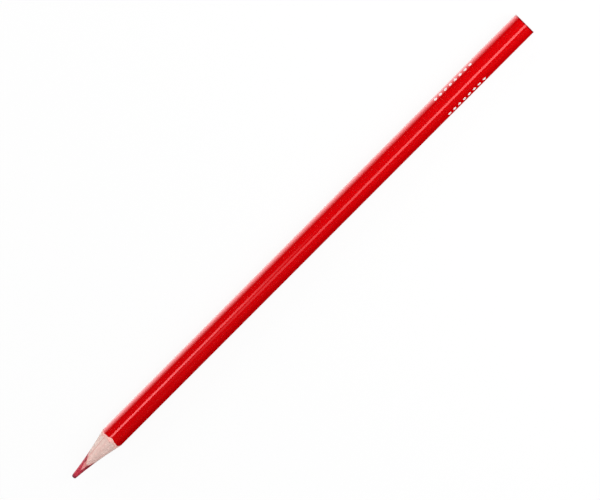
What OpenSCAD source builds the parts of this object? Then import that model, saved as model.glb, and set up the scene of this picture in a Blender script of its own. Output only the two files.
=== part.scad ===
/* [Overall size] */
// Length of the pencil from the blunt tip of the core to the sawn tail, mm
pencil_length = 176; // [60:1:220]
// Diameter of the circle that touches the three rounded corners of the barrel, mm
barrel_across = 7; // [6.6:0.1:12]
// Radius of the rounded corners of the lacquered barrel, mm
corner_radius = 2.75; // [1.6:0.05:3]

/* [Sharpened point] */
// Length of the ground point, from the tip to where its ridges leave the barrel's corners, mm
point_length = 15.6; // [10:0.2:30]
// Diameter of the circle that fits inside the blunt tip of the core, mm
tip_diameter = 1.16; // [0.6:0.02:2]
// Width of the worn edge around the blunt tip, mm
tip_break = 0.14; // [0.05:0.01:0.28]
// Radius of the hollow profile that the grinding drum leaves along the point, mm
hollow_radius = 110; // [60:5:400]
// How far behind the pencil's axis each of the three grinding cuts is centred, mm
cut_shift = 0.55; // [0.1:0.05:0.8]
// How far the tip lies off the barrel's axis towards -Y, because the pencil was ground at a slant, mm
point_lean = 0.24; // [0:0.02:0.4]

/* [Colour core] */
// Diameter of the colour core, mm
core_diameter = 3.6; // [2.6:0.1:3.8]
// How far the core lies off the barrel's axis towards +Y, mm
core_shift_side = -0.03; // [-0.3:0.01:0.3]
// How far the core lies off the barrel's axis towards the upper corner (+Z), mm
core_shift_up = -0.48; // [-0.5:0.01:0.5]

/* [Wood casing] */
// Thickness of the glue between the two slats and around the core, mm
glue_thickness = 0.1; // [0.05:0.01:0.2]

/* [Coats on the barrel] */
// Thickness of the pale primer on the wood, mm
primer_thickness = 0.06; // [0.03:0.01:0.15]
// Thickness of the colour lacquer on the primer, mm
lacquer_thickness = 0.05; // [0.05:0.01:0.2]
// Thickness of the clear varnish on the lacquer, mm
varnish_thickness = 0.03; // [0.03:0.01:0.1]
// How far behind the end of the point the lacquer's broken edge starts on the barrel's corners, mm
edge_back = 0.6; // [0.1:0.05:1]
// Rise of the lacquer's broken edge, as a share of its length along the barrel
edge_slope = 0.65; // [0.6:0.05:1.2]

/* [Hidden] */
// Number of corners, and so of faces, of the barrel
corner_count = 3;
// Angle from one corner to the next
corner_step = 360 / corner_count;
// Angle from a corner to the middle of the next face
half_step = corner_step / 2;
// Distance of the corner arcs' centres from the barrel's axis
corner_offset = barrel_across / 2 - corner_radius;
// Depth of the flat lands below the line that touches two corner arcs
land_relief = 0.002;
// Height of the barrel's axis above the face it lies on
axis_height = corner_offset * cos(half_step) + corner_radius - land_relief;
// Radii of the corner arcs under each coat
lacquer_corner = corner_radius - varnish_thickness;
primer_corner = lacquer_corner - lacquer_thickness;
wood_corner = primer_corner - primer_thickness;
// Radius of the core, and of the groove that holds it with its glue
core_radius = core_diameter / 2;
groove_radius = core_radius + glue_thickness;
// Angle of the glue seam, which is parallel to the upper face on the -Y side
seam_angle = half_step / 2;
// Radius of the circle inside the tip, and distance of the barrel's corners from its axis
tip_radius = tip_diameter / 2;
corner_reach = barrel_across / 2;
// A cut's axis lies this far beyond the pencil's axis and this far aside, seen from a ridge
ridge_back = cut_shift * cos(half_step);
ridge_aside = cut_shift * sin(half_step);
// Radii of one cut around its own axis, at the tip and where its ridges leave the barrel's corners
cut_tip = tip_radius + cut_shift;
cut_end = sqrt(pow(corner_reach + ridge_back, 2) + pow(ridge_aside, 2));
// Angle of the slant between the grinding axis and the barrel's axis
lean_angle = atan(point_lean / point_length);
// Radius of the blank that the point is ground from, in barrel widths and in millimetres
blank_ratio = 4;
blank_radius = blank_ratio * barrel_across;
// Length by which cutting shapes reach past what they cut
reach = 1;
// Facets of the round shapes
fine = 96;
arc_facets = 720;

// Lays a pencil that is drawn standing on its tail on one face, tip towards -X and a corner up
module lay_down() {
    translate([pencil_length / 2, 0, axis_height])
        rotate([0, -90, 0])
            children();
}

// Triangle with rounded corners, trimmed to narrow flat lands, one corner along +X
module barrel_section(corner_r) {
    fill_r = corner_r + land_relief;
    trim_r = (corner_offset * cos(half_step) + corner_r - land_relief) / cos(half_step);
    intersection() {
        union() {
            for (i = [0 : corner_count - 1])
                rotate(i * corner_step)
                    translate([corner_offset, 0])
                        circle(r = corner_r, $fn = fine);
            polygon([
                for (i = [0 : corner_count - 1])
                    for (side = [-1, 1])
                        [
                            corner_offset * cos(i * corner_step) + fill_r * cos(i * corner_step + side * half_step),
                            corner_offset * sin(i * corner_step) + fill_r * sin(i * corner_step + side * half_step)
                        ]
            ]);
        }
        polygon([
            for (i = [0 : corner_count - 1])
                [trim_r * cos(i * corner_step), trim_r * sin(i * corner_step)]
        ]);
    }
}

// Full length of barrel with the corner radius of one layer
module barrel_bar(corner_r) {
    linear_extrude(height = pencil_length)
        barrel_section(corner_r);
}

// Round blank with a hollow profile, from one radius at the tip to another at the point's end
module hollow_cone(tip_r, end_r) {
    rise = end_r - tip_r;
    chord = sqrt(rise * rise + point_length * point_length);
    arc_height = sqrt(hollow_radius * hollow_radius - chord * chord / 4);
    arc_out = (tip_r + end_r) / 2 + arc_height * point_length / chord;
    arc_along = pencil_length - point_length / 2 + arc_height * rise / chord;
    rotate_extrude($fn = fine)
        difference() {
            translate([0, -reach])
                square([blank_radius, pencil_length + 2 * reach]);
            translate([arc_out, arc_along])
                circle(r = hollow_radius, $fn = arc_facets);
        }
}

// Slants the grinding axis towards -Y, around the middle of the barrel where the point ends
module slanted() {
    translate([0, 0, pencil_length - point_length])
        rotate([lean_angle, 0, 0])
            translate([0, 0, point_length - pencil_length])
                children();
}

// Round blank with the blunt end and worn edge of the tip
module worn_blank() {
    translate([0, -point_lean, 0])
        rotate(half_step / 2)
            rotate_extrude($fn = fine)
                polygon([
                    [0, -reach],
                    [blank_radius, -reach],
                    [blank_radius, pencil_length - blank_radius + tip_radius - tip_break],
                    [tip_radius - tip_break, pencil_length],
                    [0, pencil_length]
                ]);
}

// Everything inside the three-sided point and its worn tip, along the whole pencil
module ground_blank() {
    intersection() {
        worn_blank();
        intersection_for (i = [0 : corner_count - 1])
            slanted()
                rotate(i * corner_step + half_step)
                    translate([-cut_shift, 0, 0])
                        hollow_cone(cut_tip, cut_end);
    }
}

// Round rod along the core's own axis
module core_rod(r) {
    translate([core_shift_up, core_shift_side, -reach])
        rotate(half_step / 2)
            cylinder(r = r, h = pencil_length + 2 * reach, $fn = fine);
}

// Turns and shifts a shape into the plane of the glue seam
module on_seam() {
    translate([core_shift_up, core_shift_side, 0])
        rotate([0, 0, seam_angle])
            children();
}

// Half of the space on one side of the glue
module slat_side(side) {
    on_seam()
        translate([-barrel_across, side > 0 ? glue_thickness / 2 : -glue_thickness / 2 - barrel_across, -reach])
            cube([2 * barrel_across, barrel_across, pencil_length + 2 * reach]);
}

// One of the two grooved slats
module slat(side) {
    difference() {
        intersection() {
            barrel_bar(wood_corner);
            slat_side(side);
            ground_blank();
        }
        core_rod(groove_radius);
    }
}

// One coat around the barrel, ground away with the point
module coat(outer_corner, inner_corner) {
    intersection() {
        difference() {
            barrel_bar(outer_corner);
            translate([0, 0, -reach])
                linear_extrude(height = pencil_length + 2 * reach)
                    barrel_section(inner_corner);
        }
        ground_blank();
    }
}

// Everything behind the edge where the lacquer has broken away, along the whole pencil
module unbroken_blank() {
    edge_height = pencil_length - point_length - edge_back;
    rotate(half_step / 2)
        rotate_extrude($fn = fine)
            polygon([
                [0, -reach],
                [corner_reach + reach, -reach],
                [corner_reach + reach, edge_height - reach / edge_slope],
                [0, edge_height + corner_reach / edge_slope]
            ]);
}

// One brittle coat, which has broken away a little behind the ground point
module brittle_coat(outer_corner, inner_corner) {
    intersection() {
        coat(outer_corner, inner_corner);
        unbroken_blank();
    }
}

// Slat that holds the whole upper face on the -Y side
module slat_face() {
    color([0.86, 0.71, 0.65])
        lay_down()
            slat(-1);
}

// Slat that holds the whole corner opposite that face
module slat_corner() {
    color([0.89, 0.78, 0.72])
        lay_down()
            slat(1);
}

// Film of glue on the seam with a sleeve around the core
module glue_film() {
    color([0.93, 0.88, 0.76])
        lay_down()
            intersection() {
                difference() {
                    intersection() {
                        barrel_bar(wood_corner);
                        union() {
                            on_seam()
                                translate([-barrel_across, -glue_thickness / 2, -reach])
                                    cube([2 * barrel_across, glue_thickness, pencil_length + 2 * reach]);
                            core_rod(groove_radius);
                        }
                    }
                    core_rod(core_radius);
                }
                ground_blank();
            }
}

// Colour core with its blunt tip
module core() {
    color([0.72, 0.18, 0.25])
        lay_down()
            intersection() {
                translate([core_shift_up, core_shift_side, 0])
                    rotate(half_step / 2)
                        cylinder(r = core_radius, h = pencil_length, $fn = fine);
                ground_blank();
            }
}

// Pale primer on the wood
module primer_coat() {
    color([0.93, 0.74, 0.7])
        lay_down()
            coat(primer_corner, wood_corner);
}

// Colour lacquer on the primer
module lacquer_coat() {
    color([0.8, 0.02, 0.04])
        lay_down()
            brittle_coat(lacquer_corner, primer_corner);
}

// Clear varnish on the lacquer
module varnish_coat() {
    color([0.85, 0.1, 0.12])
        lay_down()
            brittle_coat(corner_radius, lacquer_corner);
}

slat_face();
slat_corner();
glue_film();
core();
primer_coat();
lacquer_coat();
varnish_coat();
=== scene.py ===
"""Triangular colour pencil: fine meshes, finishes, stage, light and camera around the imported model."""

import logging
import math
from dataclasses import dataclass
from enum import Enum
from typing import Any, Callable, Optional, Sequence, Union

import bmesh
import bpy
from mathutils import Matrix, Vector


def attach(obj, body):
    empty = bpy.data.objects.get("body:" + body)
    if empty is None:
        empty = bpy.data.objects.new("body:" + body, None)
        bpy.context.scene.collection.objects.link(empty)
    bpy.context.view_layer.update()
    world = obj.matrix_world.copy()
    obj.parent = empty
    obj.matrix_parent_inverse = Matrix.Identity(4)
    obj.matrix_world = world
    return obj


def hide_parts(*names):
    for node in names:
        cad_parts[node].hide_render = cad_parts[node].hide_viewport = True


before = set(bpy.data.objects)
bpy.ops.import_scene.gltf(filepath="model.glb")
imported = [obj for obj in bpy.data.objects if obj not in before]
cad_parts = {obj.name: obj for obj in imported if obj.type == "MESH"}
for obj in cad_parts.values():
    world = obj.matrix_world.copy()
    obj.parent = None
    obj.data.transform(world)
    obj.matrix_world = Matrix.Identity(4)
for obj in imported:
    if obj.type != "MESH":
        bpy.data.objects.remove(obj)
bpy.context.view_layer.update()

LOG = logging.getLogger("pencil")
MM = 0.001
BODY = "root"
# Points nearer to each other than this are one point
WELD = 1e-8
# Corners of the barrel, and the turn from a corner to the middle of the next face
CORNERS = 3
HALF_STEP = math.pi / CORNERS

Point = tuple[float, float]
Place = tuple[float, float, float]
Colour = tuple[float, float, float, float]
Operator = Callable[["Sock", Any], "Sock"]
WHITE: Colour = (1.0, 1.0, 1.0, 1.0)
BLACK: Colour = (0.0, 0.0, 0.0, 1.0)

# Curve from a channel as seen on screen to linear light: a short straight part, then a power
SCREEN_FULL = 255
STRAIGHT_END = 0.04045
STRAIGHT_SLOPE = 12.92
CURVE_LIFT = 0.055
CURVE_POWER = 2.4


def linear(seen: int) -> float:
    """Turns one channel as seen on screen into linear light.

    Args:
        seen: Channel from 0 to 255.

    Returns:
        Linear value from 0 to 1.
    """
    part = seen / SCREEN_FULL
    curved = ((part + CURVE_LIFT) / (1.0 + CURVE_LIFT)) ** CURVE_POWER
    return part / STRAIGHT_SLOPE if part <= STRAIGHT_END else curved


def srgb(red: int, green: int, blue: int) -> Colour:
    """Turns a colour of 0 to 255 as seen on screen into the linear colour that a shader takes."""
    return (linear(red), linear(green), linear(blue), 1.0)


def between(first: Sequence[float], second: Sequence[float], part: float) -> Point:
    """Gives the point at a part of the way from one point to another."""
    return (first[0] + (second[0] - first[0]) * part, first[1] + (second[1] - first[1]) * part)


def around(centre: Point, radius: float, turn: float) -> Point:
    """Gives the point on a circle at an angle from straight up."""
    return (centre[0] + radius * math.sin(turn), centre[1] + radius * math.cos(turn))


class Side(Enum):
    """Side of the glue seam that a slat lies on, as the sign of its distance from the seam."""

    CORNER = 1
    FACE = -1


def operators(operation: str) -> tuple[Operator, Operator]:
    """Makes an operator of a wrapped socket and its reflected form.

    Args:
        operation: What the Math node does.

    Returns:
        The operator with its own value first, and the one with the other value first.
    """
    def plain(own: "Sock", other: Any) -> "Sock":
        """Puts its own value first."""
        return own.apply(operation, own, other)

    def reflected(own: "Sock", other: Any) -> "Sock":
        """Puts the other value first."""
        return own.apply(operation, other, own)

    return plain, reflected


class Sock:
    """Output socket that can be used in Python arithmetic; each operation adds a Math node."""

    __add__, __radd__ = operators("ADD")
    __sub__, __rsub__ = operators("SUBTRACT")
    __mul__, __rmul__ = operators("MULTIPLY")
    __truediv__, __rtruediv__ = operators("DIVIDE")
    __pow__, __rpow__ = operators("POWER")
    __gt__, __lt__ = operators("GREATER_THAN")

    def __init__(self, tree: "Tree", socket: bpy.types.NodeSocket) -> None:
        """Keeps the tree that new nodes go into and the output socket that holds the value."""
        self.tree = tree
        self.socket = socket

    def apply(self, operation: str, *operands: Any) -> "Sock":
        """Adds one Math node over the operands."""
        node = self.tree.node("ShaderNodeMath", dict(enumerate(operands)), operation=operation)
        return Sock(self.tree, node.outputs[0])

    def root(self) -> "Sock":
        """Square root."""
        return self.apply("SQRT", self)

    def fraction(self) -> "Sock":
        """Part after the decimal point."""
        return self.apply("FRACT", self)

    def most(self, other: Any) -> "Sock":
        """Larger of two values."""
        return self.apply("MAXIMUM", self, other)

    def least(self, other: Any) -> "Sock":
        """Smaller of two values."""
        return self.apply("MINIMUM", self, other)

    def step(self, low: float, high: float) -> "Sock":
        """Ramps smoothly from zero at one value to one at another.

        Args:
            low: Value that gives zero.
            high: Value that gives one; it may be below low.

        Returns:
            The ramp, kept between zero and one.
        """
        inputs = {"Value": self, "From Min": low, "From Max": high, "To Min": 0.0, "To Max": 1.0}
        node = self.tree.node("ShaderNodeMapRange", inputs, interpolation_type="SMOOTHSTEP", clamp=True)
        return Sock(self.tree, node.outputs["Result"])


class Tree:
    """Node tree of a material, a world or a Geometry Nodes group; one method makes any node."""

    def __init__(self, tree: bpy.types.NodeTree) -> None:
        """Keeps Blender's node tree and empties it."""
        self.tree = tree
        self.tree.nodes.clear()

    def node(self, kind: str, inputs: Optional[dict] = None, **settings: Any) -> bpy.types.Node:
        """Makes a node.

        Args:
            kind: Type name of the node.
            inputs: Values or links of its sockets, by name or place.
            **settings: Properties of the node, which are set first.

        Returns:
            The new node.
        """
        made = self.tree.nodes.new(kind)
        for name, value in settings.items():
            setattr(made, name, value)
        for key, value in (inputs or {}).items():
            self.feed(made.inputs[key], value)
        return made

    def feed(self, socket: bpy.types.NodeSocket, value: Any) -> None:
        """Links or sets one input socket.

        Args:
            socket: Socket that takes the value.
            value: A wrapped output, a node, an output socket or a plain value.
        """
        if isinstance(value, Sock):
            self.tree.links.new(value.socket, socket)
        elif isinstance(value, bpy.types.Node):
            self.tree.links.new(value.outputs[0], socket)
        elif isinstance(value, bpy.types.NodeSocket):
            self.tree.links.new(value, socket)
        else:
            socket.default_value = value

    def sock(self, node: bpy.types.Node, output: Union[str, int] = 0) -> Sock:
        """Wraps one output of a node."""
        return Sock(self, node.outputs[output])

    def split(self, vector: Any) -> tuple[Sock, Sock, Sock]:
        """Splits a vector into its three wrapped parts."""
        parts = self.node("ShaderNodeSeparateXYZ", {0: vector})
        return self.sock(parts, 0), self.sock(parts, 1), self.sock(parts, 2)

    def join(self, x: Any, y: Any, z: Any) -> Sock:
        """Makes a vector of three parts."""
        return self.sock(self.node("ShaderNodeCombineXYZ", {0: x, 1: y, 2: z}))

    def noise_at(self, spot: Sock, detail: float, rough: float = 0.5) -> Sock:
        """Makes noise around one half at a point, from its octaves and the strength of the fine ones."""
        inputs = {"Vector": spot, "Scale": 1.0, "Detail": detail, "Roughness": rough}
        return self.sock(self.node("ShaderNodeTexNoise", inputs, noise_dimensions="3D"))


@dataclass(frozen=True)
class Grain:
    """Noise in a finish, with the ramp that makes it a mask.

    It has waves per millimetre along the axes, octaves, a shift so that no two look alike and the
    strength of its fine octaves; the ramp has two ends and a share.
    """

    waves: Place
    detail: float = 2.0
    shift: float = 0.0
    rough: float = 0.5
    low: float = 0.3
    high: float = 0.7
    share: float = 1.0

    def mask(self, noise: Sock) -> Sock:
        """Ramps the noise from zero to the mask's share."""
        ramp = noise.step(self.low, self.high)
        return ramp if self.share == 1.0 else ramp * self.share


class Shader(Tree):
    """Tree of one material, with the textures and mixes that the finishes use; lengths in millimetres."""

    # Place along the pencil at which the look of the ground point is complete
    FRONT_FULL = -60.0
    # Waves of the drum's streaks around the axis, their octaves, and the least distance from the axis
    DRUM_WAVES = 1.5
    DRUM_DETAIL = 3.0
    LEAST_REACH = 0.001
    # Places of a Mix node's colour sockets
    MIX_FIRST, MIX_SECOND, MIX_RESULT = 6, 7, 2

    def __init__(self, name: str) -> None:
        """Makes an empty material and reads the object's own coordinates.

        Args:
            name: Name of the material.
        """
        self.material = bpy.data.materials.new(name)
        self.material.use_nodes = True
        super().__init__(self.material.node_tree)
        place = self.node("ShaderNodeTexCoord").outputs["Object"]
        scaled = self.node("ShaderNodeVectorMath", {0: place, "Scale": 1 / MM}, operation="SCALE")
        self.along, self.across, self.up = self.split(scaled)

    def noise(self, grain: Grain, shift: float = 0.0) -> Sock:
        """Makes the noise of a grain.

        Args:
            grain: Waves and octaves of the noise.
            shift: Further distance by which the pattern is moved.

        Returns:
            Noise around one half.
        """
        (along, across, up), moved = grain.waves, grain.shift + shift
        spot = self.join(self.along * along + moved, self.across * across + moved, self.up * up - moved)
        return self.noise_at(spot, grain.detail, grain.rough)

    def reach(self, side: float, height: float) -> Sock:
        """Gives the distance from a line along X, from its places along Y and Z."""
        aside, rise = self.across - side, self.up - height
        return (aside * aside + rise * rise).root()

    def from_core(self, sizes: "PencilSizes") -> Sock:
        """Gives the distance from the core's own axis."""
        axis = sizes.axis_height / MM
        return self.reach(sizes.core_shift_side / MM, axis + sizes.core_shift_up / MM)

    def front(self) -> Sock:
        """Ramps from zero at the middle of the pencil to one behind its point."""
        return self.along.step(0.0, self.FRONT_FULL)

    def drum(self, sizes: "PencilSizes", rings: float, shift: float) -> Sock:
        """Makes fine streaks that run around the point, as a grinding drum leaves them.

        Args:
            sizes: Sizes of the pencil.
            rings: Waves per millimetre along the axis.
            shift: Distance by which the pattern is moved.

        Returns:
            Noise around one half.
        """
        height = sizes.axis_height / MM
        reach = self.reach(0.0, height).most(self.LEAST_REACH)
        aside, rise = self.across / reach, (self.up - height) / reach
        spot = self.join(self.along * rings + shift, aside * self.DRUM_WAVES, rise * self.DRUM_WAVES)
        return self.noise_at(spot, self.DRUM_DETAIL)

    def mix(self, share: Any, first: Any, second: Any, blend: str = "MIX") -> Sock:
        """Mixes two colours.

        Args:
            share: Share of the second colour.
            first: First colour.
            second: Second colour.
            blend: Way of mixing.

        Returns:
            The mixed colour.
        """
        inputs = {0: share, self.MIX_FIRST: first, self.MIX_SECOND: second}
        mixed = self.node("ShaderNodeMix", inputs, data_type="RGBA", blend_type=blend, clamp_factor=True)
        return self.sock(mixed, self.MIX_RESULT)

    def bump(self, height: Any, distance: float) -> Sock:
        """Makes a normal that is bent by a relief, from the relief and the height of one unit of it."""
        inputs = {"Height": height, "Distance": distance * MM, "Strength": 1.0}
        return self.sock(self.node("ShaderNodeBump", inputs))

    def end(self, surface: bpy.types.Node) -> bpy.types.Material:
        """Ends the material in a surface."""
        self.node("ShaderNodeOutputMaterial", {"Surface": surface})
        return self.material

    def finish(self, **sockets: Any) -> bpy.types.Material:
        """Ends the material in one Principled shader; its sockets are named with _ for a space."""
        inputs = {name.replace("_", " "): value for name, value in sockets.items()}
        return self.end(self.node("ShaderNodeBsdfPrincipled", inputs))

    def glow(self, share: Any, tint: Colour, level: float) -> bpy.types.Material:
        """Ends the material in plain light.

        Args:
            share: Share of the full brightness at each point.
            tint: Colour of the light.
            level: Full brightness, where one is white.

        Returns:
            The finished material.
        """
        dark = self.node("ShaderNodeEmission", {"Color": BLACK, "Strength": 0.0})
        bright = self.node("ShaderNodeEmission", {"Color": tint, "Strength": level})
        self.material.cycles.emission_sampling = "NONE"
        return self.end(self.node("ShaderNodeMixShader", {0: share, 1: dark, 2: bright}))


@dataclass(frozen=True)
class Arc:
    """Hollow profile of a ground surface of revolution, from the tip to the end of the point."""

    tip: float
    end: float
    length: float
    radius: float

    def centre(self) -> Point:
        """Finds the centre of the profile's arc.

        Returns:
            Distance from the surface's own axis and distance from the tip.
        """
        rise = self.end - self.tip
        chord = math.hypot(rise, self.length)
        lift = math.sqrt(self.radius ** 2 - chord ** 2 / 4)
        out = (self.tip + self.end) / 2 + lift * self.length / chord
        return (out, self.length / 2 - lift * rise / chord)


@dataclass(frozen=True)
class PencilSizes:
    """Sizes of the pencil, the same as in its solid model, in metres."""

    length: float = 176 * MM
    barrel_across: float = 7 * MM
    corner_radius: float = 2.75 * MM
    land_relief: float = 0.002 * MM
    point_length: float = 15.6 * MM
    point_lean: float = 0.24 * MM
    tip_diameter: float = 1.16 * MM
    tip_break: float = 0.14 * MM
    hollow_radius: float = 110 * MM
    cut_shift: float = 0.55 * MM
    core_diameter: float = 3.6 * MM
    core_shift_side: float = -0.03 * MM
    core_shift_up: float = -0.48 * MM
    glue: float = 0.1 * MM
    primer: float = 0.06 * MM
    lacquer: float = 0.05 * MM
    varnish: float = 0.03 * MM
    edge_back: float = 0.6 * MM
    edge_slope: float = 0.65

    @property
    def corner_offset(self) -> float:
        """Distance of the corner arcs' centres from the axis."""
        return self.barrel_across / 2 - self.corner_radius

    @property
    def axis_height(self) -> float:
        """Height of the axis, which is the distance of the flat lands from it."""
        return self.corner_offset / 2 + self.corner_radius - self.land_relief

    @property
    def lacquer_corner(self) -> float:
        """Corner radius under the varnish."""
        return self.corner_radius - self.varnish

    @property
    def primer_corner(self) -> float:
        """Corner radius under the lacquer."""
        return self.lacquer_corner - self.lacquer

    @property
    def wood_corner(self) -> float:
        """Corner radius of the bare wood."""
        return self.primer_corner - self.primer

    @property
    def core_radius(self) -> float:
        """Radius of the core."""
        return self.core_diameter / 2

    @property
    def groove_radius(self) -> float:
        """Radius of the groove in the wood."""
        return self.core_radius + self.glue

    @property
    def core_centre(self) -> Point:
        """Centre of the core, to the side and up from the axis."""
        return (self.core_shift_side, self.core_shift_up)

    @property
    def tip_radius(self) -> float:
        """Radius of the circle inside the blunt tip."""
        return self.tip_diameter / 2

    @property
    def tip_flat(self) -> float:
        """Radius of the flat end inside the tip's worn edge."""
        return self.tip_radius - self.tip_break

    @property
    def tip_centre(self) -> Point:
        """Centre of the tip, to the side and up from the barrel's axis."""
        return (-self.point_lean, 0.0)

    @property
    def edge_start(self) -> float:
        """Distance from the tip at which the cone of the lacquer's broken edge would meet the axis."""
        return self.point_length + self.edge_back - self.barrel_across / 2 / self.edge_slope

    def cut(self) -> Arc:
        """Gives the profile of one of the three grinding cuts around its own axis."""
        end = math.hypot(self.barrel_across / 2 + self.cut_shift / 2, self.cut_shift * math.sqrt(3) / 2)
        return Arc(self.tip_radius + self.cut_shift, end, self.point_length, self.hollow_radius)


@dataclass(frozen=True)
class Outline:
    """Curves in the cross section, as points to the side (+Y) of and up from the pencil's axis."""

    sizes: PencilSizes

    ARC_STEPS = 96
    LAND_STEPS = 8
    SEAM_TURN = math.radians(30)
    SEAM = (math.sin(SEAM_TURN), math.cos(SEAM_TURN))
    SEAM_NORMAL = (math.cos(SEAM_TURN), -math.sin(SEAM_TURN))

    def layer(self, corner: float) -> list[Point]:
        """Draws the rounded triangle of one layer.

        Args:
            corner: Corner radius of the layer.

        Returns:
            Points of the closed curve, clockwise as seen from the point.
        """
        step = 2 * math.pi / CORNERS
        half = step / 2 - math.acos(1 - self.sizes.land_relief / corner)
        arcs: list[list[Point]] = []
        for k in range(CORNERS):
            centre = around((0.0, 0.0), self.sizes.corner_offset, k * step)
            turns = [k * step + half * (2 * i / self.ARC_STEPS - 1) for i in range(self.ARC_STEPS + 1)]
            arcs.append([around(centre, corner, turn) for turn in turns])
        points: list[Point] = []
        for k, arc in enumerate(arcs):
            after = arcs[(k + 1) % CORNERS][0]
            land = [between(arc[-1], after, i / self.LAND_STEPS) for i in range(1, self.LAND_STEPS)]
            points += arc + land
        return points

    def circle(self, radius: float, turns: Sequence[float]) -> list[Point]:
        """Draws a circle around the core's own axis, with a point at each angle from straight up."""
        return [around(self.sizes.core_centre, radius, turn) for turn in turns]

    def off_seam(self, point: Point) -> float:
        """Distance of a point from the middle of the seam, positive on the corner slat's side."""
        centre = self.sizes.core_centre
        return sum((point[k] - centre[k]) * self.SEAM_NORMAL[k] for k in (0, 1))

    def along_seam(self, point: Point) -> float:
        """Place of a point along the seam, zero at the core's axis."""
        centre = self.sizes.core_centre
        return sum((point[k] - centre[k]) * self.SEAM[k] for k in (0, 1))

    def crossing(self, curve: Sequence[Point], off: float, upper: bool) -> tuple[int, Point]:
        """Finds where a closed curve crosses a line beside the seam.

        Args:
            curve: Points of the closed curve.
            off: Distance of the line from the middle of the seam.
            upper: Whether the crossing above the core is wanted, or the one below.

        Returns:
            Index of the point before the crossing, and the crossing.
        """
        for i, here in enumerate(curve):
            there = curve[(i + 1) % len(curve)]
            first, second = self.off_seam(here) - off, self.off_seam(there) - off
            if first * second <= 0 and first != second:
                spot = between(here, there, first / (first - second))
                if (self.along_seam(spot) > 0) == upper:
                    return i, spot
        raise ValueError("the curve doesn't cross the seam")

    def beside(self, curve: Sequence[Point], off: float, steps: int) -> list[Point]:
        """Takes the part of a closed curve on one side of the seam.

        Args:
            curve: Points of the closed curve.
            off: Distance of the cut from the middle of the seam; its sign picks the side.
            steps: Number of spans in the result.

        Returns:
            Evenly spaced points from the upper crossing to the lower one.
        """
        first, top = self.crossing(curve, off, True)
        last, foot = self.crossing(curve, off, False)
        count = len(curve)
        if off > 0:
            middle = [curve[(first + 1 + i) % count] for i in range((last - first) % count)]
        else:
            middle = [curve[(first - i) % count] for i in range((first - last) % count)]
        return self.even([top, *middle, foot], steps)

    @staticmethod
    def even(curve: Sequence[Point], steps: int) -> list[Point]:
        """Spaces points evenly along an open curve.

        Args:
            curve: Points of the curve.
            steps: Number of spans in the result.

        Returns:
            One more point than there are spans.
        """
        sums = [0.0]
        for here, there in zip(curve, curve[1:]):
            sums.append(sums[-1] + math.dist(here, there))
        made, i = [], 0
        for k in range(steps + 1):
            want = sums[-1] * k / steps
            while i < len(curve) - 2 and sums[i + 1] < want:
                i += 1
            span = sums[i + 1] - sums[i]
            made.append(between(curve[i], curve[i + 1], (want - sums[i]) / span if span else 0.0))
        return made


class Region:
    """Flat net of faces that covers the cross section of one piece, drawn at the tail."""

    def __init__(self, sizes: PencilSizes) -> None:
        """Keeps the sizes and starts an empty net."""
        self.sizes = sizes
        self.net = bmesh.new()

    def _vert(self, point: Point) -> bmesh.types.BMVert:
        """Puts one point of the section at the pencil's tail."""
        return self.net.verts.new((self.sizes.length / 2, point[0], self.sizes.axis_height + point[1]))

    def strip(self, inner: Sequence[Point], outer: Sequence[Point], rows: int, closed: bool) -> "Region":
        """Fills the space between two curves.

        Args:
            inner: Points of the inner curve.
            outer: As many points of the outer curve.
            rows: Rows of faces between the curves.
            closed: Whether the curves close on themselves.

        Returns:
            This region.
        """
        parts = [row / rows for row in range(rows + 1)]
        grid = [[self._vert(between(a, b, part)) for a, b in zip(inner, outer)] for part in parts]
        count = len(inner)
        for low, high in zip(grid, grid[1:]):
            for i in range(count if closed else count - 1):
                j = (i + 1) % count
                self.net.faces.new((low[i], low[j], high[j], high[i]))
        return self

    def disc(self, centre: Point, ring: Sequence[Point]) -> "Region":
        """Fills a closed curve with a fan.

        Args:
            centre: Middle of the fan.
            ring: Points of the curve.

        Returns:
            This region.
        """
        hub = self._vert(centre)
        rim = [self._vert(point) for point in ring]
        for i, vert in enumerate(rim):
            self.net.faces.new((hub, vert, rim[(i + 1) % len(rim)]))
        return self

    def mesh(self, name: str) -> bpy.types.Mesh:
        """Welds the net and turns every face towards the point.

        Args:
            name: Name of the mesh.

        Returns:
            The flat mesh.
        """
        bmesh.ops.remove_doubles(self.net, verts=self.net.verts, dist=WELD)
        self.net.normal_update()
        for face in self.net.faces:
            if face.normal.x > 0:
                face.normal_flip()
        made = bpy.data.meshes.new(name)
        self.net.to_mesh(made)
        self.net.free()
        return made


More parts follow.
